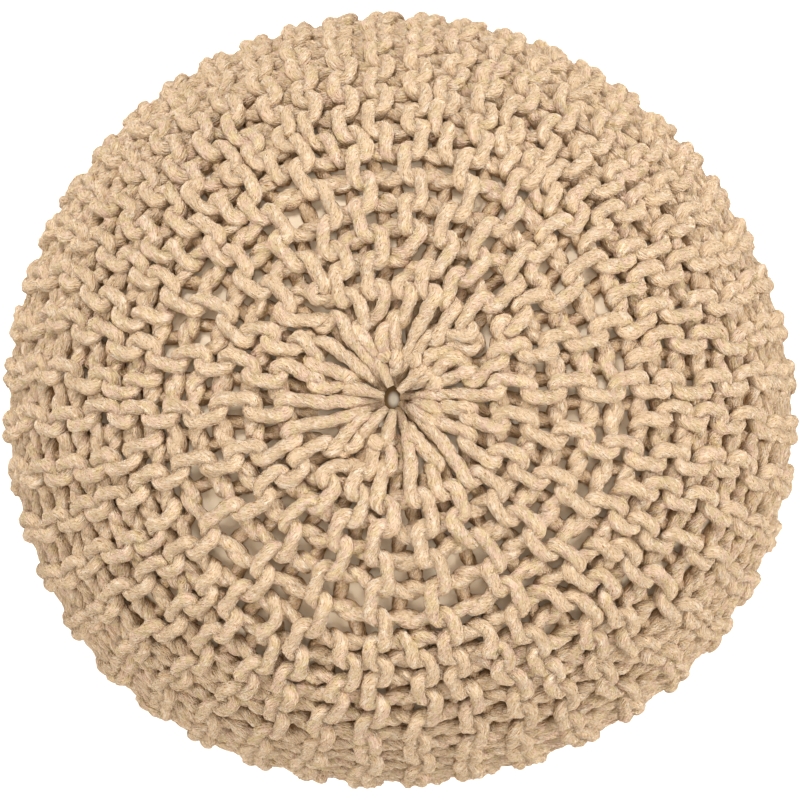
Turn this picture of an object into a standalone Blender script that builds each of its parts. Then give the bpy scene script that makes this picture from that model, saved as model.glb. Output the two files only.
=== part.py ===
"""Knitted pouf: a garter-stitch cover of thick yarn, drawn over a filled round casing.

The cover is knitted sideways, so its ribs run from the gathered centre of the crown, down the
sides, to the gathered centre of the base. Every second rib is a short row, which turns back
before it reaches either centre. Between the long ribs of the crown the knit is stretched open,
and the casing shows through the gaps. Metres, +Z up, with the origin on the floor under the
middle of the pouf.
"""

import math
import random

import bmesh
import bpy
import numpy as np

# Driving dimensions.
WIDTH = 0.500  # across the rib crests at the waist
WALL = 0.0085  # the knitted wall, one yarn thick
RIB_RISE = 0.0085  # a rib's crest above the furrow beside it
SEAT_GAP = 0.0005  # between the bottom of the furrows and the casing

# The outline of the casing, seen from the side.
CASING_RADIUS = WIDTH / 2 - RIB_RISE - WALL - SEAT_GAP
CASING_TOP = 0.338  # at the middle, before the dimple; the ribs bring the pouf to 350 mm
CASING_BASE = WALL + SEAT_GAP
WAIST_HEIGHT = 0.155
FOOT_RADIUS = 0.150  # the flat that rests on the floor
CROWN_FULLNESS = 2.8  # exponents of the superellipses above and below the waist
FOOT_FULLNESS = 2.2
DIMPLE_DEPTH = 0.007  # where the gathering draws the crown in
DIMPLE_RADIUS = 0.032
OUTLINE_POINTS = 3000

# How the pouf departs from round, seen from above: waves in a turn, height, phase in degrees.
SWELLS = (
    {"waves": 2, "height": 0.0030, "phase": 7},
    {"waves": 3, "height": 0.0027, "phase": 60},
    {"waves": 4, "height": 0.0012, "phase": 147},
)

# The ribs. Four columns of faces make one long rib, and the short rib beside it further out.
LONG_RIBS = 24
COLUMNS = 4 * LONG_RIBS
RIB_TURN = math.radians(-4.3)  # the first rib's direction, anticlockwise from +X
RIB_CROWDING = math.radians(8.0)  # how far ribs are pushed together towards +Y
RIB_FADE_IN = (0.028, 0.105)  # radii between which the ribs of the crown rise
RIB_FADE_OUT = 0.075  # length over which they flatten towards the foot
GATHER_RADIUS = 0.0045  # the hole that the gathering leaves

# Gaps of the stretched crown: a row of them, then a bar of yarn, and so on outwards.
GAP_START = 0.050
GAP_LENGTH = 0.0085
BAR_LENGTH = 0.0082
GAP_ROWS = 6
SHORT_ROW_LENGTH = 0.016  # over which a short rib rises from the furrow
STITCH_LENGTH = 2 * (GAP_LENGTH + BAR_LENGTH)
RIB_WAVER = 0.0018  # sideways swing of a crest, one swing a stitch
UNEVENNESS = 0.0009

CROWN_RINGS = 8  # rings of faces from the last gap row to the waist
SIDE_RINGS = 5  # from the waist to the foot

YARN_COLOUR = (0.80, 0.60, 0.38, 1)
CASING_COLOUR = (0.50, 0.45, 0.36, 1)


def smooth(value, low, high):
    """0 below low, 1 above high, and an S-shaped rise between them."""
    share = min(max((value - low) / (high - low), 0.0), 1.0)
    return share * share * (3 - 2 * share)


def casing_outline():
    """Arc length, radius and height of points down the casing, from its top to its bottom."""
    turn = np.linspace(0, math.pi / 2, OUTLINE_POINTS)
    crown_radius = CASING_RADIUS * np.sin(turn) ** (2 / CROWN_FULLNESS)
    crown_rise = (CASING_TOP - WAIST_HEIGHT) * np.cos(turn).clip(0) ** (2 / CROWN_FULLNESS)
    side_out = (CASING_RADIUS - FOOT_RADIUS) * np.cos(turn).clip(0) ** (2 / FOOT_FULLNESS)
    side_drop = (WAIST_HEIGHT - CASING_BASE) * np.sin(turn) ** (2 / FOOT_FULLNESS)
    radius = np.concatenate([crown_radius, FOOT_RADIUS + side_out[1:], [0.0]])
    height = np.concatenate([WAIST_HEIGHT + crown_rise, WAIST_HEIGHT - side_drop[1:], [CASING_BASE]])
    crown = np.arange(len(radius)) < OUTLINE_POINTS
    height -= crown * DIMPLE_DEPTH * np.exp(-((radius / DIMPLE_RADIUS) ** 2))
    arc = np.concatenate([[0.0], np.cumsum(np.hypot(np.diff(radius), np.diff(height)))])
    return arc, radius, height


ARC, RADIUS, HEIGHT_AT = casing_outline()
WAIST_ARC = float(ARC[OUTLINE_POINTS - 1])
FOOT_ARC = float(ARC[-2])
BASE_ARC = float(ARC[-1])
GAP_END = GAP_START + GAP_ROWS * (GAP_LENGTH + BAR_LENGTH)


def ring_arcs():
    """Where the rings of vertices lie, as arc lengths from the crown's centre."""
    arcs = [GATHER_RADIUS, 0.020, 0.036]
    for row in range(GAP_ROWS):
        start = GAP_START + row * (GAP_LENGTH + BAR_LENGTH)
        arcs += [start, start + GAP_LENGTH]
    arcs += list(np.linspace(GAP_END, WAIST_ARC, CROWN_RINGS + 1))
    arcs += list(np.linspace(WAIST_ARC, FOOT_ARC, SIDE_RINGS + 1)[1:])
    arcs += [FOOT_ARC + 0.020, BASE_ARC - GATHER_RADIUS]
    return arcs


RING_ARCS = ring_arcs()
FIRST_GAP_RING = RING_ARCS.index(GAP_START)


def swell(angle):
    """How much further out the pouf reaches in this direction."""
    return sum(
        wave["height"] * math.cos(wave["waves"] * angle + math.radians(wave["phase"]))
        for wave in SWELLS
    )


def rib_rise(column, arc):
    """Height of the wall's outer face above its furrows, for a column of faces' edge."""
    turn = 2 * math.pi * column / COLUMNS
    long_rib = (1 + math.cos(LONG_RIBS * turn)) / 2
    every_rib = (1 + math.cos(2 * LONG_RIBS * turn)) / 2
    short_share = smooth(arc, GAP_END, GAP_END + SHORT_ROW_LENGTH)
    shape = long_rib * (1 - short_share) + every_rib * short_share
    fade_in = smooth(arc, *RIB_FADE_IN)
    fade_out = 1 - smooth(arc, FOOT_ARC - RIB_FADE_OUT, FOOT_ARC)
    return RIB_RISE * shape * fade_in * fade_out


def column_angle(column):
    """Direction of a column's edge. The ribs stand closer together towards +Y."""
    turn = 2 * math.pi * column / COLUMNS
    return turn + RIB_TURN + RIB_CROWDING * math.cos(turn)


def on_pouf(column, arc, lift, aside=0.0):
    """The point that far along the casing's outline and that far out from its face."""
    angle = column_angle(column)
    radius = float(np.interp(arc, ARC, RADIUS))
    height = float(np.interp(arc, ARC, HEIGHT_AT))
    before, after = arc - 0.001, arc + 0.001
    out = np.interp(before, ARC, HEIGHT_AT) - np.interp(after, ARC, HEIGHT_AT)
    up = np.interp(after, ARC, RADIUS) - np.interp(before, ARC, RADIUS)
    if arc > FOOT_ARC - 0.001:
        out, up = 0.0, -1.0
    size = math.hypot(out, up)
    radius += lift * out / size + swell(angle) * (radius / CASING_RADIUS) ** 2
    return (
        radius * math.cos(angle) - aside * math.sin(angle),
        radius * math.sin(angle) + aside * math.cos(angle),
        height + lift * up / size,
    )


def grid_places(vertices, columns, rings):
    """Column and ring of each vertex of a unit sphere of that many columns and rings."""
    places = {}
    for vertex in vertices:
        turn = math.atan2(vertex.co.y, vertex.co.x) % (2 * math.pi)
        column = round(turn / (2 * math.pi) * columns) % columns
        ring = round(math.acos(max(-1.0, min(1.0, vertex.co.z))) / math.pi * rings)
        places[vertex] = (column, ring)
    return places


def make_knit_cover():
    """The wall's outer face, with the gaps left out, on the grid of a sphere without poles."""
    chance = random.Random(24)
    mesh = bmesh.new()
    segments = len(RING_ARCS) + 1
    bmesh.ops.create_uvsphere(mesh, u_segments=COLUMNS, v_segments=segments, radius=1)
    places = grid_places(mesh.verts, COLUMNS, segments)
    poles = [v for v in mesh.verts if places[v][1] in (0, segments)]
    bmesh.ops.delete(mesh, geom=poles, context="VERTS")

    gaps = []
    for face in mesh.faces:
        columns = sorted(places[v][0] % 4 for v in face.verts)
        first_ring = min(places[v][1] for v in face.verts) - 1
        gap_ring = first_ring - FIRST_GAP_RING
        in_furrow = columns[0] in (1, 2) and columns[-1] in (2, 3)
        if in_furrow and 0 <= gap_ring < 2 * GAP_ROWS and gap_ring % 2 == 0:
            gaps.append(face)
    bmesh.ops.delete(mesh, geom=gaps, context="FACES")

    for vertex in mesh.verts:
        column, ring = places[vertex]
        arc = RING_ARCS[ring - 1]
        lift = SEAT_GAP + WALL + rib_rise(column, arc)
        stretched = smooth(arc, 0.036, GAP_START) * (1 - smooth(arc, GAP_END, GAP_END + 0.01))
        crest = 1 if column % 4 == 0 else 0
        aside = crest * RIB_WAVER * math.sin(2 * math.pi * arc / STITCH_LENGTH)
        aside += chance.uniform(-UNEVENNESS, UNEVENNESS)
        arc += stretched * chance.uniform(-UNEVENNESS, UNEVENNESS)
        if ring in (1, len(RING_ARCS)):
            column = 4 * round(column / 4)  # the gathered rims have one edge to a long rib
        vertex.co = on_pouf(column, arc, lift, aside * stretched)
    bmesh.ops.remove_doubles(mesh, verts=mesh.verts, dist=0.0001)
    bmesh.ops.recalc_face_normals(mesh, faces=mesh.faces)
    return mesh


def make_casing():
    """The filled casing: a closed sphere grid on the same rings, a column to every rib."""
    mesh = bmesh.new()
    kept = [
        arc
        for ring, arc in enumerate(RING_ARCS)
        if not (FIRST_GAP_RING < ring < FIRST_GAP_RING + 2 * GAP_ROWS and ring % 2 == 0)
    ]
    arcs = [0.0, *kept, BASE_ARC]
    segments = len(arcs) - 1
    columns = COLUMNS // 2
    bmesh.ops.create_uvsphere(mesh, u_segments=columns, v_segments=segments, radius=1)
    places = grid_places(mesh.verts, columns, segments)
    for vertex in mesh.verts:
        column, ring = places[vertex]
        vertex.co = on_pouf(2 * column + 1, arcs[ring], 0.0)
    bmesh.ops.recalc_face_normals(mesh, faces=mesh.faces)
    return mesh


def fabric(name, colour, roughness):
    material = bpy.data.materials.new(name)
    material.use_nodes = True
    shader = material.node_tree.nodes["Principled BSDF"]
    shader.inputs["Base Color"].default_value = colour
    shader.inputs["Roughness"].default_value = roughness
    shader.inputs["Metallic"].default_value = 0.0
    return material


def add_object(name, bmesh_data, material, collection):
    mesh = bpy.data.meshes.new(name)
    bmesh_data.to_mesh(mesh)
    bmesh_data.free()
    mesh.materials.append(material)
    mesh.shade_smooth()
    built = bpy.data.objects.new(name, mesh)
    collection.objects.link(built)
    return built


for old in list(bpy.data.objects):
    bpy.data.objects.remove(old)

pouf = bpy.data.collections.new("knitted_pouf")
bpy.context.scene.collection.children.link(pouf)

knit_cover = add_object("knit_cover", make_knit_cover(), fabric("yarn", YARN_COLOUR, 0.9), pouf)
casing = add_object("casing", make_casing(), fabric("casing_cloth", CASING_COLOUR, 0.85), pouf)

# The swells put the outline's middle a little off the ribs' axis, so both pieces are moved back.
corners = np.array([vertex.co for vertex in knit_cover.data.vertices])
middle = (corners.min(axis=0) + corners.max(axis=0)) / 2
for piece in (knit_cover, casing):
    piece.location = (-middle[0], -middle[1], 0)

wall = knit_cover.modifiers.new("one_yarn_thick", "SOLIDIFY")
wall.thickness = WALL
wall.offset = -1  # inwards, so that the outer face keeps its size
wall.use_quality_normals = True
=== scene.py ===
"""The looks of the knitted pouf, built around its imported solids. Metres, +Z up."""

import math

import bmesh
import bpy
import numpy as np
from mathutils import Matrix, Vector


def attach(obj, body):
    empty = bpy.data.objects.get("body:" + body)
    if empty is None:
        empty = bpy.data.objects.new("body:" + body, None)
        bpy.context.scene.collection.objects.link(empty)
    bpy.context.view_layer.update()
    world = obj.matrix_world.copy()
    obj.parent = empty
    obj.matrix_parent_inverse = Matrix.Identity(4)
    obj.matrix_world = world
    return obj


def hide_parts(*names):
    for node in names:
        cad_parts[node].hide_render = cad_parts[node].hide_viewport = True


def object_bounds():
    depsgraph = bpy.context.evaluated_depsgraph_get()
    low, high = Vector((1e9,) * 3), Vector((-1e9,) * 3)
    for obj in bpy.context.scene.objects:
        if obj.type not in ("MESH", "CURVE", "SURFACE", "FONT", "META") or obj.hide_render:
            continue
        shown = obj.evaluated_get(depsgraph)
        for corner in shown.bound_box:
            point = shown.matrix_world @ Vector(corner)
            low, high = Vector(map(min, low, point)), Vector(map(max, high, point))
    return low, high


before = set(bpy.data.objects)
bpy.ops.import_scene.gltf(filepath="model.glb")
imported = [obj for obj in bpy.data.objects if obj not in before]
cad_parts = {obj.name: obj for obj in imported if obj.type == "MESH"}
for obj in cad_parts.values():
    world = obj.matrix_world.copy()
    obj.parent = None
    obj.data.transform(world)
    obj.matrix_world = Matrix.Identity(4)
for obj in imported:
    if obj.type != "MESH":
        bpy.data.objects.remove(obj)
cad_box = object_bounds()

# ---------------------------------------------------------------------------------------------
# The photograph's setting: a pale floor and soft studio light, seen from straight above.
# The camera stands over the gathered centre, with +Y up in the picture.

PICTURE_SIZE = 800  # pixels, each way
HOLE_IN_PICTURE = (392, 398)  # pixels from the left and from the top to the gathered centre
OUTLINE_WIDTH = 797  # pixels, from the pouf's left edge to its right
CAMERA_HEIGHT = 2.6
SENSOR_WIDTH = 36  # millimetres
WAIST_HEIGHT = 0.155  # where the pouf is widest
KNIT_AXIS = (-0.0030, -0.0008)  # where the ribs meet, a little off the middle of the outline

metres_per_pixel = (cad_box[1][0] - cad_box[0][0]) / OUTLINE_WIDTH
seen_width = PICTURE_SIZE * metres_per_pixel  # at the height of the waist
camera = bpy.data.objects.new("camera", bpy.data.cameras.new("camera"))
bpy.context.scene.collection.objects.link(camera)
bpy.context.scene.camera = camera
camera.location = (*KNIT_AXIS, CAMERA_HEIGHT)
camera.data.sensor_width = SENSOR_WIDTH
camera.data.lens = SENSOR_WIDTH * (CAMERA_HEIGHT - WAIST_HEIGHT) / seen_width
camera.data.shift_x = (PICTURE_SIZE / 2 - HOLE_IN_PICTURE[0]) / PICTURE_SIZE
camera.data.shift_y = (HOLE_IN_PICTURE[1] - PICTURE_SIZE / 2) / PICTURE_SIZE


class Socket:
    """A shader value that Python's own operators can work with."""

    def __init__(self, tree, output):
        self.tree = tree
        self.output = output

    def node(self, kind, settings=None, output=0, **inputs):
        """An output of a new node of that kind, whose settings are made before its inputs.

        An input goes by its name, with _ for a space, or by its place, as _0, _1 and so on.
        """
        made = self.tree.nodes.new(kind)
        for name, value in (settings or {}).items():
            setattr(made, name, value)
        for name, value in inputs.items():
            spot = int(name[1:]) if name[0] == "_" else name.replace("_", " ")
            if isinstance(value, Socket):
                self.tree.links.new(value.output, made.inputs[spot])
            else:
                made.inputs[spot].default_value = value
        return Socket(self.tree, made.outputs[output])

    def maths(self, operation, other=0.0):
        return self.node("ShaderNodeMath", {"operation": operation}, _0=self, _1=other)

    def __add__(self, other):
        return self.maths("ADD", other)

    def __radd__(self, other):
        return self + other

    def __sub__(self, other):
        return self.maths("SUBTRACT", other)

    def __rsub__(self, other):
        return self * -1.0 + other

    def __mul__(self, other):
        return self.maths("MULTIPLY", other)

    def __rmul__(self, other):
        return self * other

    def vector_maths(self, operation, other=(0.0, 0.0, 0.0), output="Vector"):
        settings = {"operation": operation}
        return self.node("ShaderNodeVectorMath", settings, output, _0=self, _1=other)

    def part(self, axis):
        """One of the three numbers of a vector."""
        return self.node("ShaderNodeSeparateXYZ", None, axis, _0=self)

    def between(self, low, high):
        """0 before low and 1 past high, with an S-shaped rise from the one to the other."""
        settings = {"interpolation_type": "SMOOTHSTEP"}
        return self.node("ShaderNodeMapRange", settings, Value=self, From_Min=low, From_Max=high)

    def blend(self, first, second):
        """A colour, blended from the first to the second by this share."""
        first, second = (
            colour if isinstance(colour, Socket) else (*colour, 1) for colour in (first, second)
        )
        return self.node("ShaderNodeMix", {"data_type": "RGBA"}, 2, _0=self, _6=first, _7=second)

    def noise(self, scale, detail=2.0, roughness=0.5):
        """Uneven patches, about that many to each unit of this place, and about 0.5 on average."""
        settings = {"Scale": scale, "Detail": detail, "Roughness": roughness}
        return self.node("ShaderNodeTexNoise", Vector=self, **settings)


def coordinates(tree, kind):
    """The place that is being coloured, on the object or in the sky."""
    return Socket(tree, tree.nodes.new("ShaderNodeTexCoord").outputs[kind])


def new_material(name):
    """A new material, its shader, and the place on the object that its patterns go by."""
    material = bpy.data.materials.new(name)
    material.use_nodes = True
    tree = material.node_tree
    return material, tree.nodes["Principled BSDF"], coordinates(tree, "Object")


def feed(shader, name, value):
    """Link a value that isn't the same all over to one of a shader's sockets."""
    value.tree.links.new(value.output, shader.inputs[name])


# A pale matt floor. It is wide enough that no view shows its edge, and glows a little, so that
# it stays as white as the photograph's ground.
FLOOR_HALF = 6.0
FLOOR_WHITE = (0.93, 0.93, 0.93, 1)
FLOOR_GLOW = 0.35

mesh = bmesh.new()
bmesh.ops.create_grid(mesh, x_segments=1, y_segments=1, size=FLOOR_HALF)
floor_mesh = bpy.data.meshes.new("floor")
mesh.to_mesh(floor_mesh)
mesh.free()
floor = bpy.data.objects.new("floor", floor_mesh)
bpy.context.scene.collection.objects.link(floor)
floor_paper, shader, _ = new_material("floor_paper")
shader.inputs["Base Color"].default_value = FLOOR_WHITE
shader.inputs["Roughness"].default_value = 0.9
shader.inputs["Specular IOR Level"].default_value = 0.1
shader.inputs["Emission Color"].default_value = (1, 1, 1, 1)
shader.inputs["Emission Strength"].default_value = FLOOR_GLOW
floor_mesh.materials.append(floor_paper)

# Soft light all round: a pale wall of it low down, and a warm dim one overhead.
WALL_GREY = (0.60, 0.585, 0.56)
WARM_FILL = (0.24, 0.174, 0.092)
WALL_EDGE = (0.10, 0.24)  # how far up the wall starts to darken, and where it ends, as a sine

studio = bpy.data.worlds.new("studio")
bpy.context.scene.world = studio
studio.use_nodes = True
background = studio.node_tree.nodes["Background"]
upward = coordinates(studio.node_tree, "Generated").part("Z")
feed(background, "Color", upward.between(*WALL_EDGE).blend(WALL_GREY, WARM_FILL))
background.inputs["Strength"].default_value = 1.0

# The round soft lamps, with their places, their widths and their power in watts.
LAMPS = (
    {"name": "overhead", "place": (0.15, 0.35, 2.6), "size": 1.4, "power": 14},
    {"name": "from_above", "place": (-0.4, 1.9, 2.0), "size": 0.8, "power": 56.5},
    {"name": "from_left", "place": (-2.1, -0.2, 1.6), "size": 1.2, "power": 31},
    {"name": "from_right", "place": (2.1, 0.1, 1.6), "size": 1.2, "power": 47},
    {"name": "from_below", "place": (0.3, -2.0, 1.8), "size": 1.2, "power": 31.5},
)
LAMP_COLOUR = (0.985, 1.0, 1.05)
LAMPS_AIM = (0, 0, 0.25)

for lamp in LAMPS:
    data = bpy.data.lights.new(lamp["name"], "AREA")
    data.shape = "DISK"
    data.size = lamp["size"]
    data.energy = lamp["power"]
    data.color = LAMP_COLOUR
    light = bpy.data.objects.new(lamp["name"], data)
    bpy.context.scene.collection.objects.link(light)
    light.location = lamp["place"]
    aim = Vector(LAMPS_AIM) - Vector(lamp["place"])
    light.rotation_euler = aim.to_track_quat("-Z", "Y").to_euler()
bpy.context.scene.view_settings.view_transform = "Standard"

# ---------------------------------------------------------------------------------------------
# The casing: a round bag of plain-woven cloth, filled until it is firm. It shows grey-beige
# through the stretched knit of the crown. The knit holds it, and it swells into the gaps.

CASING_RADIUS = 0.2297
BODY_OFFSET = (0.0040, -0.0040)  # from the ribs' axis to the middle of the body
CASING_TOP = 0.3345
CASING_BASE = 0.0145
FOOT_RADIUS = 0.150  # of the flat that the pouf stands on
CROWN_FULLNESS = 2.8  # 2 is an ellipse's, and more is squarer
FOOT_FULLNESS = 2.2
DIMPLE_DEPTH = 0.009  # where the gathering draws the crown in
DIMPLE_RADIUS = 0.032
# The outline's unevenness: waves in a turn, their height, and where they start in degrees.
SWELLS = (
    {"waves": 2, "height": 0.0030, "phase": 7},
    {"waves": 3, "height": 0.0027, "phase": 60},
    {"waves": 4, "height": 0.0012, "phase": 147},
)
OUTLINE_POINTS = 3000  # along the crown, and again along the side
FOOT_POINTS = 400
EVEN_POINTS = 1400
FACING_REACH = 6  # even points each way, over which the outline's direction is taken

turn = np.linspace(0, math.pi / 2, OUTLINE_POINTS)
crown_radius = CASING_RADIUS * np.sin(turn) ** (2 / CROWN_FULLNESS)
crown_rise = (CASING_TOP - WAIST_HEIGHT) * np.cos(turn).clip(0) ** (2 / CROWN_FULLNESS)
dimple = DIMPLE_DEPTH * np.exp(-((crown_radius / DIMPLE_RADIUS) ** 2))
side_reach = (CASING_RADIUS - FOOT_RADIUS) * np.cos(turn).clip(0) ** (2 / FOOT_FULLNESS)
side_drop = (WAIST_HEIGHT - CASING_BASE) * np.sin(turn) ** (2 / FOOT_FULLNESS)
crown = np.column_stack([crown_radius, WAIST_HEIGHT + crown_rise - dimple])
side = np.column_stack([FOOT_RADIUS + side_reach, WAIST_HEIGHT - side_drop])
foot = np.column_stack([np.linspace(FOOT_RADIUS, 0, FOOT_POINTS), np.full(FOOT_POINTS, CASING_BASE)])
outline_radius, outline_height = np.concatenate([crown, side[1:], foot[1:]]).T
steps = np.hypot(np.diff(outline_radius), np.diff(outline_height))
outline_arc = np.concatenate([[0.0], np.cumsum(steps)])
LAST_ARC = float(outline_arc[-1])

# Even steps down the outline, with the direction that faces out of the casing at each.
even_number = np.arange(EVEN_POINTS)
even_arc = np.linspace(0, LAST_ARC, EVEN_POINTS)
even_radius = np.interp(even_arc, outline_arc, outline_radius)
even_height = np.interp(even_arc, outline_arc, outline_height)
ahead = np.clip(even_number + FACING_REACH, 0, EVEN_POINTS - 1)
behind = np.clip(even_number - FACING_REACH, 0, EVEN_POINTS - 1)
run_out = even_radius[ahead] - even_radius[behind]
run_down = even_height[behind] - even_height[ahead]
run = np.hypot(run_out, run_down)
even_out, even_up = run_down / run, run_out / run


def swell(angle):
    """How much further out the pouf reaches in this direction."""
    return sum(
        wave["height"] * np.cos(wave["waves"] * angle + math.radians(wave["phase"]))
        for wave in SWELLS
    )


def on_casing(arc, angle, lift):
    """Points that far down the casing's outline, in that direction, and that far out of it."""
    radius = np.interp(arc, even_arc, even_radius)
    height = np.interp(arc, even_arc, even_height)
    out = np.interp(arc, even_arc, even_out)
    up = np.interp(arc, even_arc, even_up)
    wide = (radius / CASING_RADIUS) ** 2
    reach = radius + lift * out + swell(angle) * wide
    across = KNIT_AXIS[0] + BODY_OFFSET[0] * wide + reach * np.cos(angle)
    along = KNIT_AXIS[1] + BODY_OFFSET[1] * wide + reach * np.sin(angle)
    return np.stack([across, along, height + lift * up], axis=-1)


CASING_COLUMNS = 96
CASING_RINGS = 110
RINGS_TO_POLES = 0.11  # how far the rings crowd towards the two centres
CASING_BULGE = 0.0026  # out past the innermost faces of the cords, which press into it
HOLE_SINK = (0.0005, 0.009)  # how deep the casing sinks in the gathered hole, and how far out

mesh = bmesh.new()
bmesh.ops.create_uvsphere(mesh, u_segments=CASING_COLUMNS, v_segments=CASING_RINGS, radius=1)
ball = np.array([vertex.co for vertex in mesh.verts])
down = np.arccos(ball[:, 2].clip(-1, 1)) / math.pi
arcs = (down - RINGS_TO_POLES * np.sin(2 * math.pi * down)) * LAST_ARC
sunk = HOLE_SINK[0] * np.exp(-((arcs / HOLE_SINK[1]) ** 2))
angles = np.arctan2(ball[:, 1], ball[:, 0])
for vertex, spot in zip(mesh.verts, on_casing(arcs, angles, CASING_BULGE - sunk)):
    vertex.co = spot
bmesh.ops.recalc_face_normals(mesh, faces=mesh.faces)
casing_mesh = bpy.data.meshes.new("filled_casing")
mesh.to_mesh(casing_mesh)
mesh.free()
casing_mesh.shade_smooth()
filled_casing = bpy.data.objects.new("filled_casing", casing_mesh)
bpy.context.scene.collection.objects.link(filled_casing)
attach(filled_casing, "root")
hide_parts("casing")

# The woven cloth. In the gathered hole a painted pool of light shows, with a painted shadow of the
# strands' ends round it.
CASING_GREY = (0.82, 0.685, 0.50)
CASING_SHADE = (0.69, 0.56, 0.39)
HOLE_PAINTED_LIGHT = (0.98, 0.87, 0.69)
HOLE_PAINTED_SHADOW = (0.17, 0.095, 0.035)
PAINTED_LIGHT_ASIDE = (0.0010, -0.0010)  # from the hole's middle to the middle of the painted pool of light
PAINTED_LIGHT_SHAPE = (1.3, 0.95, 1.0)  # distances from it are multiplied by this, so more is narrower
PAINTED_LIGHT_EDGE = (0.010, 0.006)  # from its middle, where the painted light starts, and is at its brightest
PAINTED_SHADOW_INSIDE = (0.0014, 0.0054)  # from its middle, where the painted shadow starts, and is darkest
PAINTED_SHADOW_OUTSIDE = (0.020, 0.012)  # where it ends, and where it is still darkest
PATCHES_A_METRE = 40.0
THREADS_A_METRE = 900.0
THREAD_HEIGHT = 0.0004

casing_cloth, shader, place = new_material("casing_cloth")
shader.inputs["Roughness"].default_value = 0.85
shader.inputs["Specular IOR Level"].default_value = 0.1
hole_spot = on_casing(0.0, 0.0, CASING_BULGE - HOLE_SINK[0])
painted_light_spot = [float(value) for value in hole_spot + (*PAINTED_LIGHT_ASIDE, 0.0)]
aside = place.vector_maths("SUBTRACT", painted_light_spot).vector_maths("MULTIPLY", PAINTED_LIGHT_SHAPE)
from_painted_light = aside.vector_maths("LENGTH", output="Value")
cloth = place.noise(PATCHES_A_METRE, detail=3.0).blend(CASING_GREY, CASING_SHADE)
# Painted light: a brighter cloth colour in the hole's middle, offset to its lit side.
cloth = from_painted_light.between(*PAINTED_LIGHT_EDGE).blend(cloth, HOLE_PAINTED_LIGHT)
# Painted shadow: a dark brown ring round the painted light, where the strands' ends shade the hole.
painted_shadow_ring = from_painted_light.between(*PAINTED_SHADOW_INSIDE) * from_painted_light.between(*PAINTED_SHADOW_OUTSIDE)
feed(shader, "Base Color", painted_shadow_ring.blend(cloth, HOLE_PAINTED_SHADOW))
threads = place.noise(THREADS_A_METRE, detail=1.0)
weave = place.node("ShaderNodeBump", Strength=0.4, Distance=THREAD_HEIGHT, Height=threads)
feed(shader, "Normal", weave)
casing_mesh.materials.append(casing_cloth)

# ---------------------------------------------------------------------------------------------
# The knitted cover: one long plied cotton cord in garter stitch, knitted sideways and drawn
# tight over the casing. Two courses make a rib, from the gathered crown to the gathered base.
# Between every two long ribs a short rib turns back before it reaches either centre.

CORD_WIDTH = 0.0090
RIBS = 24  # long ones
RIB_TURN = math.radians(-4.3)
RIB_CROWDING = math.radians(8.0)  # how far ribs at +X and -X move round to +Y, to stand closer

# Stitches lie along a course. They are stretched on the crown and the base, and close elsewhere.
FIRST_STITCH = 0.0715  # from the centre of the crown to the middle of the first stitch
STRETCHED_STITCH = 0.0322
CLOSE_STITCH = 0.0259
CLOSE_FROM = (0.124, 0.144)  # down the outline, where they start to close up, and are close
SHORT_RIB_STITCHES_LEFT = 3  # stitches that a short rib leaves unworked at each end


def share(value, low, high):
    """0 before low and 1 past high, with an S-shaped rise from the one to the other."""
    part = np.clip((value - low) / (high - low), 0, 1)
    return part * part * (3 - 2 * part)


# Where each stitch lies: its number grows down the outline as fast as stitches are close.
closeness = share(even_arc, *CLOSE_FROM) * share(LAST_ARC - even_arc, *CLOSE_FROM)
stitches_a_metre = 1 / (STRETCHED_STITCH + (CLOSE_STITCH - STRETCHED_STITCH) * closeness)
stitch_number = np.concatenate([[0.0], np.cumsum(stitches_a_metre[1:] * np.diff(even_arc))])
stitch_number -= np.interp(FIRST_STITCH, even_arc, stitch_number)
last_place = np.interp(LAST_ARC - FIRST_STITCH, even_arc, stitch_number)
LAST_STITCH = round(float(last_place))
stitch_number *= LAST_STITCH / last_place
SHORT_FROM = SHORT_RIB_STITCHES_LEFT - 0.5
SHORT_TO = LAST_STITCH - SHORT_FROM

TURN_OFFSET = 0.36  # of the long ribs' spacing, from a short rib's turn to the long rib after it
OFFSET_GAIN = 0.14  # so much more where the short rib lies midway
OFFSET_STITCHES = 2.5  # from the turn to there
SHORT_RIB_ENTRY = 0.5  # stitches each way from the turn, in which the long ribs make room


def stitch_arc(stitch):
    """How far down the casing's outline a stitch lies."""
    return np.interp(stitch, stitch_number, even_arc)


def short_offset(stitch):
    """How far a short rib lies before the long rib after it, in long ribs' spacings."""
    from_turn = np.minimum(stitch - SHORT_FROM, SHORT_TO - stitch)
    return TURN_OFFSET + OFFSET_GAIN * share(from_turn, 0.0, OFFSET_STITCHES)


def short_rib_here(stitch):
    """1 where short ribs lie between the long ribs, and 0 towards the centres."""
    from_turn = np.minimum(stitch - SHORT_FROM, SHORT_TO - stitch)
    return share(from_turn, -SHORT_RIB_ENTRY, SHORT_RIB_ENTRY)


def rib_angle(rib):
    """The direction of a rib, or of a place between ribs."""
    around = 2 * math.pi * rib / RIBS
    return around + RIB_TURN + RIB_CROWDING * np.cos(around)


# The knit's unevenness: how far stitches drift along the ribs, ribs drift aside, and the knit
# puckers out, and the waves that each is made of.
STITCH_DRIFT = 0.10  # of a stitch
RIB_DRIFT = 0.054  # of the long ribs' spacing
PUCKER = 0.0010
DRIFT_FREE = (-2.0, 0.5)  # stitches inwards from the first and the last: it starts, and is full
DRIFT_WAVES = (
    {"in_a_turn": 1, "in_a_stitch": 0.07},
    {"in_a_turn": 2, "in_a_stitch": 0.15},
    {"in_a_turn": 3, "in_a_stitch": 0.11},
    {"in_a_turn": 5, "in_a_stitch": 0.20},
    {"in_a_turn": 8, "in_a_stitch": 0.26},
    {"in_a_turn": 7, "in_a_stitch": 0.41},
    {"in_a_turn": 11, "in_a_stitch": 0.33},
)


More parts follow.
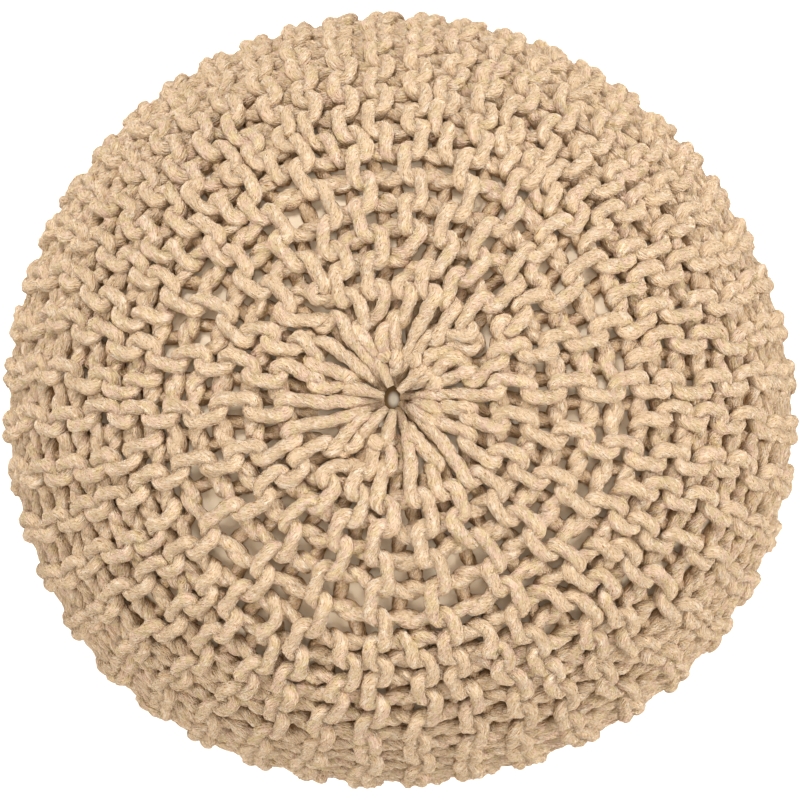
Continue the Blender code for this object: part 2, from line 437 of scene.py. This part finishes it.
def drift(rib, stitch, seed):
    """A smooth unevenness over the whole knit, mostly within 1 either way."""
    waves = np.random.default_rng(seed)
    total = 0.0
    for wave in DRIFT_WAVES:
        around, along = wave["in_a_turn"] * rib / RIBS, wave["in_a_stitch"] * stitch
        total += np.cos(2 * math.pi * (around + along + waves.random()))
        total += np.cos(2 * math.pi * (around - along + waves.random()))
    return total / math.sqrt(len(DRIFT_WAVES))


def on_knit(rib, stitch, lift):
    """Points at that rib and stitch, counted with fractions, and that far out of the casing."""
    free = share(stitch, *DRIFT_FREE) * share(LAST_STITCH - stitch, *DRIFT_FREE)
    moved = stitch + STITCH_DRIFT * free * drift(rib, stitch, 1)
    aside = RIB_DRIFT * free * drift(rib, stitch, 2)
    puckered = lift + PUCKER * free * drift(rib, stitch, 3)
    return on_casing(stitch_arc(moved), rib_angle(rib + aside), puckered)


# The loops. Each has a head and a foot, and a leg on each side between them.
POINTS_A_STITCH = 20
KNIT_MIDDLE = 0.0084  # from the casing to the middle of the knit's thickness
LOOP_RISE = 0.0050  # from the middle of the knit's thickness to the front and the back
CLOSE_RISE = 0.0009  # so much more where the stitches are close
LOOP_OVERLAP = 0.0048  # how far a loop reaches past the line of its rib
MOST_OVERLAP = 0.42  # of the loop's length, however close the ribs are
LOOP_SPREAD = 0.20  # of a stitch, by which a head and a foot spread to each side
FRONT_NARROWING = 0.06  # of a stitch, by which each leg leans in to whichever is at the front
LOOP_FLATNESS = 1.2  # how squarely the cord turns from a leg into a head or a foot
INNER_SINK = 0.0026  # how much nearer the casing lie stitches before the first or past the last
INNER_SINK_OVER = (0.3, 1.2)  # stitches from there, where they start to sink, and are down


def course(front, back, front_is_head, stitch):
    """The cord's middle along one course, whose loops go from its back line to its front line.

    A course that ends in heads at the front has its feet at the back. The next one has its feet
    at the front, and its heads at the back.
    """
    phase = 2 * math.pi * stitch
    facing = np.cos(phase) if front_is_head else -np.cos(phase)
    narrowing = -FRONT_NARROWING if front_is_head else FRONT_NARROWING
    place = stitch + LOOP_SPREAD * np.sin(2 * phase) + narrowing * np.sin(phase)
    spacing = 2 * math.pi * np.interp(stitch_arc(place), even_arc, even_radius) / RIBS
    overlap = np.minimum(LOOP_OVERLAP / spacing, MOST_OVERLAP * np.abs(front - back))
    flat = np.tanh(LOOP_FLATNESS * facing) / math.tanh(LOOP_FLATNESS)
    rib = (front + back) / 2 + flat * ((front - back) / 2 + np.sign(front - back) * overlap)
    past_end = np.maximum(-place, place - LAST_STITCH)
    sunk = INNER_SINK * share(past_end, *INNER_SINK_OVER)
    rise = LOOP_RISE + CLOSE_RISE * np.interp(stitch_arc(place), even_arc, closeness)
    return on_knit(rib, place, KNIT_MIDDLE + rise * flat**3 - sunk)


# The gathering. Some ribs' strands lie on top and turn down into the hole at the centre. The
# rest dive under them.
TOP_RIBS = (0, 3, 5, 8, 9, 10, 12, 13, 14, 16, 18, 19, 21)
HOLE_RADIUS = 0.0084  # to the middles of the strands
HOLE_NARROWING = 0.0012  # how much narrower it is at their lower ends
HOLE_LIP = 0.0026  # how far outwards their turn into it reaches
HOLE_DROP = 0.0052  # and how far down
HOLE_EVENING = 0.6  # share of the way that top strands move to even places round the hole
HOLE_LENGTHENING = 0.19  # of the hole's radius: it is longer along Y, and narrower along X
HOLE_LENGTHENS_FROM = 0.03  # the radius where strands start to bend to the longer hole
CENTRE_LIFT = 0.0095  # from the casing to the middles of the top strands
LEVEL_RADIUS = 0.030  # inside it they lie at that lift, apart from those that start inside it
LEVEL_MARGIN = 0.002  # past the first stitch, where they would have the stitch's own lift
BURIED_LIFT = 0.0036  # from the casing to the middles of the strands that dive
DIVE_LENGTH = 0.010
TURN_POINTS = 7
TOP_STRAND_POINTS = 13
DIVE_POINTS = 5


def to_centre(rib, lift, first, of_crown):
    """A strand from the gathering outwards, as far as a course's first or last stitch."""
    outer = stitch_arc(first)
    at_hole = rib
    if rib in TOP_RIBS:
        turned = np.linspace(0, math.pi / 2, TURN_POINTS)[:-1]
        leaning = HOLE_NARROWING * (1 - np.sin(turned))
        into_hole = HOLE_RADIUS - leaning + HOLE_LIP * (1 - np.cos(turned))
        length = outer - HOLE_RADIUS - HOLE_LIP
        over_casing = HOLE_RADIUS + HOLE_LIP + length * np.linspace(0, 1, TOP_STRAND_POINTS)
        reach = np.concatenate([into_hole, over_casing])
        height = np.full(len(reach), CENTRE_LIFT)
        height[: len(turned)] -= HOLE_DROP * (1 - np.sin(turned))
        even_place = (TOP_RIBS.index(rib) + 0.5) * RIBS / len(TOP_RIBS) - 0.5
        at_hole += HOLE_EVENING * (even_place - rib)
        sink = share(reach, outer + LEVEL_MARGIN, LEVEL_RADIUS)
    else:
        reach = np.linspace(outer - DIVE_LENGTH, outer, DIVE_POINTS)
        height = np.full(len(reach), BURIED_LIFT)
        sink = share(reach, outer, outer - DIVE_LENGTH)
    toward = share(reach, outer, HOLE_RADIUS + HOLE_LIP)
    middle_rib = rib + (at_hole - rib) * toward
    upright = np.cos(2 * (rib_angle(middle_rib) - math.pi / 2))
    reach = reach * (1 + HOLE_LENGTHENING * upright * share(reach, HOLE_LENGTHENS_FROM, HOLE_RADIUS))
    stitch = np.interp(reach, even_arc, stitch_number)
    if not of_crown:
        stitch = LAST_STITCH - stitch
    return on_knit(middle_rib, stitch, lift * (1 - sink) + height * sink)


def gathered(worked, rib, lift, first):
    """A course with its strands from the crown's gathering and to the base's."""
    crown_strand = to_centre(rib, lift, first, True)
    base_strand = to_centre(rib, lift, first, False)
    return np.concatenate([crown_strand, worked, base_strand[::-1]])


# A short rib's turn, from its last foot at the back to its first foot at the front: the share of
# the way from the long rib to the short one, the stitches beyond the foot, and the lift.
TURN = (
    {"across": 0.56, "beyond": 0.06, "lift": 0.0036},
    {"across": 0.64, "beyond": 0.22, "lift": 0.0046},
    {"across": 0.80, "beyond": 0.34, "lift": 0.0076},
    {"across": 0.98, "beyond": 0.30, "lift": 0.0112},
    {"across": 1.06, "beyond": 0.16, "lift": 0.0134},
)


def turn_back(rib, line, stitch, inward):
    """The cord where a short rib turns back, between a long rib and the short rib's own line."""
    across, beyond, lift = (
        np.array([point[column] for point in TURN]) for column in ("across", "beyond", "lift")
    )
    return on_knit(rib + across * (line - rib), stitch - inward * beyond, lift)


# Where the long ribs' stitches start, counted from the first. They end as far past the last.
LONGER_RIBS = (3, 8, 12, 16, 18)  # these top ribs have one more stitch at each end
LONGER_RIB_START = -1.5
TOP_RIB_START = -0.5
BURIED_RIB_START = -1.36
BURIED_RIB_SPREAD = 0.22  # stitches more or fewer, from rib to rib
BURIED_RIB_WAVE = 1.9  # radians from rib to rib


def rib_start(rib):
    """The place of a long rib's first stitch."""
    if rib in LONGER_RIBS:
        return LONGER_RIB_START
    if rib in TOP_RIBS:
        return TOP_RIB_START
    return BURIED_RIB_START + BURIED_RIB_SPREAD * math.sin(BURIED_RIB_WAVE * rib)


def stitch_places(first, last):
    """The places along a course at which its cord is worked out."""
    return np.linspace(first, last, round((last - first) * POINTS_A_STITCH) + 1)


cords = []
for rib in range(RIBS):
    first = rib_start(rib)
    stitch = stitch_places(first, LAST_STITCH - first)
    # A course's back line is midway between its rib and the one beside it, be it long or short.
    short, offset = short_rib_here(stitch), short_offset(stitch)
    heads = course(rib, rib - 0.5 + short * (0.5 - offset / 2), True, stitch)
    feet = course(rib, rib + 0.5 - short * offset / 2, False, stitch)
    # Where it isn't gathered, a rib's first course ends under the strands on top.
    if rib in TOP_RIBS and rib not in LONGER_RIBS:
        heads = gathered(heads, rib - 0.5, KNIT_MIDDLE - LOOP_RISE, first)
    cords.append(heads)
    cords.append(gathered(feet, rib, KNIT_MIDDLE + LOOP_RISE, first))
    stitch = stitch_places(SHORT_FROM, SHORT_TO)
    line = rib + 1 - short_offset(stitch)
    out_and_back = [
        course(line, (rib + line) / 2, True, stitch),
        turn_back(rib, line[-1], SHORT_TO, -1),
        course(line, (line + rib + 1) / 2, False, stitch)[::-1],
        turn_back(rib, line[0], SHORT_FROM, 1)[::-1],
    ]
    cords.append(np.concatenate([*out_and_back, out_and_back[0][:1]]))

# The cords settle, as the tightened knit does on the casing: each keeps its length and bends
# smoothly, they press each other apart, and they lie on the casing and on the floor.
POINT_SPACING = 0.0037
NEIGHBOURS = 3  # points on one cord that may lie close
SETTLING_ROUNDS = 100
SEARCH_EVERY = 12  # rounds between searches for the cords that may touch
SEARCH_REACH = 1.5  # cord's widths
PASSES = 2  # of pressing, and of drawing to length, in a round
BENDING = 0.04  # share of the way that a point goes to its neighbours' middle, in a round
PRESSING = 0.3  # share of an overlap that each of two points gives way, in a pass
DRAWING = 0.35  # share of a step's wrong length that each of its ends makes good, in a pass
TIGHTENING = 0.83  # of the length of the courses as they are laid
LENGTH_UNEVENNESS = 0.10
EVEN_STRETCH = 18  # steps of the cord that share one tightness
CONTACT_ASIDE = 0.0082  # between two cords' middles where they touch, across the ribs
SQUASH = 2.0  # how many times closer they come along the ribs, and one over the other
CROWDED_RADIUS = 0.060  # nearer the gathered centre than this they are squashed more and more
PRESSED_INTO_CASING = 0.0007
FLOOR_CLEARANCE = 0.0010
CASING_MIDDLE = 0.17  # a height inside the casing, from which all its outline can be seen
TINY = 1e-9  # keeps divisions from failing

chance = np.random.default_rng(24)


def evened(points, spacing):
    """The same path with its points at even steps of about that length."""
    along = np.concatenate([[0.0], np.cumsum(np.linalg.norm(np.diff(points, axis=0), axis=1))])
    stations = np.linspace(0, along[-1], round(float(along[-1]) / spacing) + 1)
    return np.column_stack([np.interp(stations, along, points[:, axis]) for axis in range(3)])


def near_pairs(points, reach):
    """Every two points closer than the reach, apart from close neighbours on one cord."""
    cell = np.floor(points / reach).astype(np.int64)
    cell -= cell.min(axis=0) - 1
    across = cell.max(axis=0) + 2
    key = (cell[:, 0] * across[1] + cell[:, 1]) * across[2] + cell[:, 2]
    order = np.argsort(key, kind="stable")
    keys = key[order]
    # Each point is paired with those of its own cell and of half of the cells round it, so that
    # no two points are paired twice.
    beside = [(x, y, z) for x in (0, 1) for y in (-1, 0, 1) for z in (-1, 0, 1)]
    firsts, seconds = [], []
    for x, y, z in beside[beside.index((0, 0, 0)) :]:
        wanted = keys + (x * across[1] + y) * across[2] + z
        low = np.searchsorted(keys, wanted, "left")
        count = np.searchsorted(keys, wanted, "right") - low
        first = np.repeat(np.arange(len(keys)), count)
        within = np.arange(len(first)) - np.repeat(np.cumsum(count) - count, count)
        second = np.repeat(low, count) + within
        keep = second > first if (x, y, z) == (0, 0, 0) else slice(None)
        firsts.append(order[first[keep]])
        seconds.append(order[second[keep]])
    first, second = np.concatenate(firsts), np.concatenate(seconds)
    apart = points[first] - points[second]
    close = (apart * apart).sum(axis=1) < reach * reach
    close &= np.abs(first - second) > NEIGHBOURS
    return first[close], second[close]


# Seen from the casing's middle, its outline's even points go from the base up to the crown.
slope_upward = np.arctan2(even_height - CASING_MIDDLE, even_radius)[::-1]
number_upward = even_number[::-1].astype(float)


def out_of_casing(points):
    """How far each point lies out of the casing, and the direction out."""
    across = points[:, 0] - KNIT_AXIS[0]
    along = points[:, 1] - KNIT_AXIS[1]
    wide = np.minimum(1, np.hypot(across, along) / (CASING_RADIUS + KNIT_MIDDLE)) ** 2
    across, along = across - BODY_OFFSET[0] * wide, along - BODY_OFFSET[1] * wide
    angle = np.arctan2(along, across)
    radius = np.hypot(across, along) - swell(angle) * wide
    slope = np.arctan2(points[:, 2] - CASING_MIDDLE, radius)
    number = np.interp(slope, slope_upward, number_upward)
    out = np.interp(number, even_number, even_out)
    up = np.interp(number, even_number, even_up)
    lift = (radius - np.interp(number, even_number, even_radius)) * out
    lift += (points[:, 2] - np.interp(number, even_number, even_height)) * up
    return lift, np.column_stack([out * np.cos(angle), out * np.sin(angle), up])


def scattered(index, moves, count):
    """The sum of the moves of each point."""
    return np.column_stack([np.bincount(index, moves[:, axis], count) for axis in range(3)])


paths = [evened(points, POINT_SPACING) for points in cords]
starts = np.cumsum([0] + [len(points) for points in paths])
joined = np.concatenate(paths)
laid = joined.copy()
before_start = starts[1:-1] - 1
link = np.setdiff1d(np.arange(len(joined) - 1), before_start)
middle = np.setdiff1d(np.arange(1, len(joined) - 1), [*before_start, *starts[1:-1]])
ends = np.concatenate([starts[:-1], starts[1:] - 1])
own_length = np.linalg.norm(joined[link + 1] - joined[link], axis=1) * TIGHTENING
tightness = chance.standard_normal(len(link) // EVEN_STRETCH + 1)
own_length *= 1 + LENGTH_UNEVENNESS * np.repeat(tightness, EVEN_STRETCH)[: len(link)]

for settling in range(SETTLING_ROUNDS):
    if settling % SEARCH_EVERY == 0:
        first, second = near_pairs(joined, CORD_WIDTH * SEARCH_REACH)
        across, along = joined[first, 0] - KNIT_AXIS[0], joined[first, 1] - KNIT_AXIS[1]
        reach = np.hypot(across, along)
        around = np.column_stack([-along / reach, across / reach, np.zeros(len(first))])
        limit = CONTACT_ASIDE * np.minimum(1, reach / CROWDED_RADIUS)
    # Each point goes a little towards the middle of its neighbours.
    joined[middle] += BENDING * (joined[middle - 1] + joined[middle + 1] - 2 * joined[middle])
    # Cords that are too close part.
    for _ in range(PASSES):
        apart = joined[first] - joined[second]
        aside = (apart * around).sum(axis=1)
        squashed = SQUASH**2 * (apart * apart).sum(axis=1) - (SQUASH**2 - 1) * aside**2
        distance = np.sqrt(squashed) + TINY
        inside = distance < limit
        a, b = first[inside], second[inside]
        push = apart[inside] * (PRESSING * (limit[inside] / distance[inside] - 1))[:, None]
        joined += scattered(a, push, len(joined)) - scattered(b, push, len(joined))
    # Each step of the cord goes back to its own length.
    for _ in range(PASSES):
        run = joined[link + 1] - joined[link]
        length = np.sqrt((run * run).sum(axis=1)) + TINY
        pull = run * (DRAWING * (1 - own_length / length))[:, None]
        joined += scattered(link, pull, len(joined)) - scattered(link + 1, pull, len(joined))
    # The cords stay on the casing and above the floor, and their ends stay where they are.
    lift, outward = out_of_casing(joined)
    joined += outward * np.maximum(0, CORD_WIDTH / 2 - PRESSED_INTO_CASING - lift)[:, None]
    joined[:, 2] = np.maximum(joined[:, 2], CORD_WIDTH / 2 + FLOOR_CLEARANCE)
    joined[ends] = laid[ends]
cords = [joined[low:high] for low, high in zip(starts[:-1], starts[1:])]

# The cord's own form: three soft plies, twisted together. Its cross-section has three corners
# a ply, and turns on its way along the cord.
PLIES = 3
PLY_PROFILE = (0.82, 1.05, 1.05)  # cord's radii: in the groove, then over the ply's crest
PLY_TURN = 0.055  # of cord for one turn of the plies
FINE_STEPS = 4  # between two settled points, where the path is rounded
BEND_WINDOW = 5  # fine steps over which the bending is averaged
STRAIGHT_STEP = 0.0042
BENT_STEP = 0.0020
SHARP_BEND = 0.0055  # the radius of a bend that gets the closest steps

sides = PLIES * len(PLY_PROFILE)
side_angle = 2 * math.pi * np.arange(sides) / sides
around_cord = np.column_stack([np.cos(side_angle), np.sin(side_angle)])
side_reach = np.tile(PLY_PROFILE, PLIES) * CORD_WIDTH / 2
corners = np.column_stack([around_cord * side_reach[:, None], np.zeros(sides), np.ones(sides)])
section = bpy.data.curves.new("cord_section", "CURVE")
section.dimensions = "2D"
outline = section.splines.new("POLY")
outline.points.add(sides - 1)
outline.points.foreach_set("co", corners.ravel())
outline.use_cyclic_u = True
cord_section = bpy.data.objects.new("cord_section", section)


def smooth_route(points):
    """The settled path, rounded through its points, with close steps where it bends.

    It is returned with the length of the cord from its start to each point.
    """
    before, after = 2 * points[:1] - points[1:2], 2 * points[-1:] - points[-2:-1]
    padded = np.concatenate([before, points, after])
    part = np.linspace(0, 1, FINE_STEPS + 1)[:-1][None, :, None]
    a, b, c, d = (padded[k : len(padded) - 3 + k][:, None, :] for k in range(4))
    squared, cubed = (2 * a - 5 * b + 4 * c - d) * part**2, (3 * b - a - 3 * c + d) * part**3
    fine = 0.5 * (2 * b + (c - a) * part + squared + cubed)
    fine = np.concatenate([fine.reshape(-1, 3), points[-1:]])
    run = np.linalg.norm(np.diff(fine, axis=0), axis=1)
    heading = np.diff(fine, axis=0) / run[:, None]
    bend = np.linalg.norm(np.diff(heading, axis=0), axis=1) / run[1:]
    bend = np.convolve(np.concatenate([[0.0], bend]), np.ones(BEND_WINDOW) / BEND_WINDOW, "same")
    step = STRAIGHT_STEP + (BENT_STEP - STRAIGHT_STEP) * np.clip(bend * SHARP_BEND, 0, 1)
    count = np.concatenate([[0.0], np.cumsum(run / step)])
    stations = np.linspace(0, count[-1], round(float(count[-1])) + 1)
    route = np.column_stack([np.interp(stations, count, fine[:, axis]) for axis in range(3)])
    length = np.concatenate([[0.0], np.cumsum(np.linalg.norm(np.diff(route, axis=0), axis=1))])
    return route, length


# The cotton: cream fibres of several shades, spun into yarns that wind round the cord, with
# pale and dark flecks. Each point of the mesh holds its place around and along its cord, and
# how far it lies out of the casing, where painted shade darkens the cord the deeper it lies.
CREAM = (0.86, 0.64, 0.415)
PAINTED_HOLLOW_SHADE = (0.62, 0.385, 0.18)
ROSE = (0.88, 0.62, 0.455)
STRAW = (0.82, 0.635, 0.355)
PALE = (0.96, 0.785, 0.58)
UMBER_FLECKS_AND_SHADE = (0.42, 0.195, 0.045)
YARNS_ROUND = 15
YARN_WAVER = 10.0  # radians
YARN_HEIGHT = 0.30  # of the bump's distance, as are the next two
FUZZ_HEIGHT = 2.4
TUFT_HEIGHT = 1.5
BUMP_DISTANCE = 0.0016
PAINTED_SHADE_DEPTHS = (0.0115, 0.0025)  # out of the casing, where the painted shade starts, and is darkest
PAINTED_SHADE_SHARE = 0.68  # share of umber painted shade where it is darkest

cotton_cord, shader, place = new_material("cotton_cord")


def from_mesh(name, output):
    """What each point of the mesh holds under that name."""
    settings = {"attribute_type": "GEOMETRY", "attribute_name": name}
    return place.node("ShaderNodeAttribute", settings, output)


def along_cord(around, along, detail=2.0, roughness=0.5):
    """Noise drawn out along the cord. More is finer, around it and along it."""
    return strand.vector_maths("MULTIPLY", (around, around, along)).noise(1.0, detail, roughness)


strand = from_mesh("strand", "Vector")
side = strand.part("Y").maths("ARCTAN2", strand.part("X"))
waver = along_cord(1.6, 144.0) - 0.5
yarns = 0.5 + 0.5 * (side * YARNS_ROUND + waver * YARN_WAVER).maths("SINE")
fuzz = along_cord(4.5, 480.0, detail=3.0, roughness=0.7)
tufts = along_cord(2.0, 240.0, roughness=0.6)
height = yarns * YARN_HEIGHT + fuzz * FUZZ_HEIGHT + tufts * TUFT_HEIGHT
fibres = place.node("ShaderNodeBump", Strength=1.0, Distance=BUMP_DISTANCE, Height=height)
feed(shader, "Normal", fibres)

# The shades over the straw-coloured ground: each comes in where its noise goes from low to high.
shades = (
    {"colour": ROSE, "noise": place.noise(190.0), "low": 0.38, "high": 0.62},
    {"colour": CREAM, "noise": place.noise(40.0, detail=3.0), "low": 0.35, "high": 0.65},
    {"colour": PALE, "noise": along_cord(1.6, 300.0, detail=3.0), "low": 0.50, "high": 0.66},
    # Painted shade: darker sand where the fibres' bump is low, in its hollows.
    {"colour": PAINTED_HOLLOW_SHADE, "noise": fuzz, "low": 0.54, "high": 0.30},
    {"colour": PALE, "noise": along_cord(7.0, 800.0, detail=1.0), "low": 0.64, "high": 0.72},
    {"colour": UMBER_FLECKS_AND_SHADE, "noise": along_cord(6.0, 500.0, detail=1.0), "low": 0.32, "high": 0.26},
)
cotton = STRAW
for shade in shades:
    cotton = shade["noise"].between(shade["low"], shade["high"]).blend(cotton, shade["colour"])
# Painted shade: the nearer the cord lies to the casing, the more umber it gets.
cotton = (from_mesh("lift", "Fac").between(*PAINTED_SHADE_DEPTHS) * PAINTED_SHADE_SHARE).blend(cotton, UMBER_FLECKS_AND_SHADE)
feed(shader, "Base Color", cotton)
shader.inputs["Roughness"].default_value = 0.95
shader.inputs["Specular IOR Level"].default_value = 0.08
shader.inputs["Sheen Weight"].default_value = 0.05
shader.inputs["Sheen Tint"].default_value = (1.0, 0.80, 0.55, 1)

# The pieces of the knit, each of four long ribs with their short ribs. The cord is a curve with
# the plies' section, made into a mesh.
RIBS_A_PIECE = 4
CORDS_A_PIECE = 3 * RIBS_A_PIECE
THIN_CORD = (0.006, 0.022)  # the radius where the cord is drawn thinnest, and where it is full
THINNEST = 0.53  # of the cord's width
THICKNESS_UNEVENNESS = 0.055
MOST_UNEVEN = 2  # times that
KNOT_POINTS = 4  # points of the route from one thickness to the next
STRAND_OFFSET = 0.37  # along the pattern of fibres, from one cord's start to the next one's
WELD_DISTANCE = 1e-7  # at most, between the corners of a cap and those of the cord's end

for piece in range(RIBS // RIBS_A_PIECE):
    curve = bpy.data.curves.new("cord", "CURVE")
    curve.dimensions = "3D"
    curve.bevel_mode = "OBJECT"
    curve.bevel_object = cord_section
    curve.use_fill_caps = True
    strands = []
    for number in range(piece * CORDS_A_PIECE, (piece + 1) * CORDS_A_PIECE):
        route, length = smooth_route(cords[number])
        spread_out = np.hypot(route[:, 0] - KNIT_AXIS[0], route[:, 1] - KNIT_AXIS[1])
        thickness = THINNEST + (1 - THINNEST) * share(spread_out, *THIN_CORD)
        knots = chance.standard_normal(len(route) // KNOT_POINTS + 2).clip(-MOST_UNEVEN, MOST_UNEVEN)
        places = np.arange(len(route)) / KNOT_POINTS
        thickness *= 1 + THICKNESS_UNEVENNESS * np.interp(places, np.arange(len(knots)), knots)
        spline = curve.splines.new("POLY")
        spline.points.add(len(route) - 1)
        spline.points.foreach_set("co", np.column_stack([route, np.ones(len(route))]).ravel())
        spline.points.foreach_set("tilt", 2 * math.pi * length / PLY_TURN)
        spline.points.foreach_set("radius", thickness)
        along = np.repeat(length + number * STRAND_OFFSET, sides)
        strands.append(np.column_stack([np.tile(around_cord, (len(route), 1)), along]))
    swept = bpy.data.objects.new("swept", curve)
    bpy.context.scene.collection.objects.link(swept)
    bpy.context.view_layer.update()
    evaluated = swept.evaluated_get(bpy.context.evaluated_depsgraph_get())
    knit_mesh = bpy.data.meshes.new_from_object(evaluated)
    bpy.data.objects.remove(swept)
    # The curve's caps come first in its mesh, from the last cord's to the first's.
    caps = [values for strand in reversed(strands) for values in (strand[-sides:], strand[:sides])]
    attribute = knit_mesh.attributes.new("strand", "FLOAT_VECTOR", "POINT")
    attribute.data.foreach_set("vector", np.concatenate(caps + strands).ravel())
    mesh = bmesh.new()
    mesh.from_mesh(knit_mesh)
    bmesh.ops.remove_doubles(mesh, verts=mesh.verts, dist=WELD_DISTANCE)
    mesh.to_mesh(knit_mesh)
    mesh.free()
    lift, _ = out_of_casing(np.array([vertex.co for vertex in knit_mesh.vertices]))
    attribute = knit_mesh.attributes.new("lift", "FLOAT", "POINT")
    attribute.data.foreach_set("value", lift)
    knit_mesh.materials.clear()
    knit_mesh.materials.append(cotton_cord)
    knit_mesh.shade_smooth()
    knit = bpy.data.objects.new(f"knit_ribs_{piece + 1}", knit_mesh)
    bpy.context.scene.collection.objects.link(knit)
    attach(knit, "root")
    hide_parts("knit_cover")
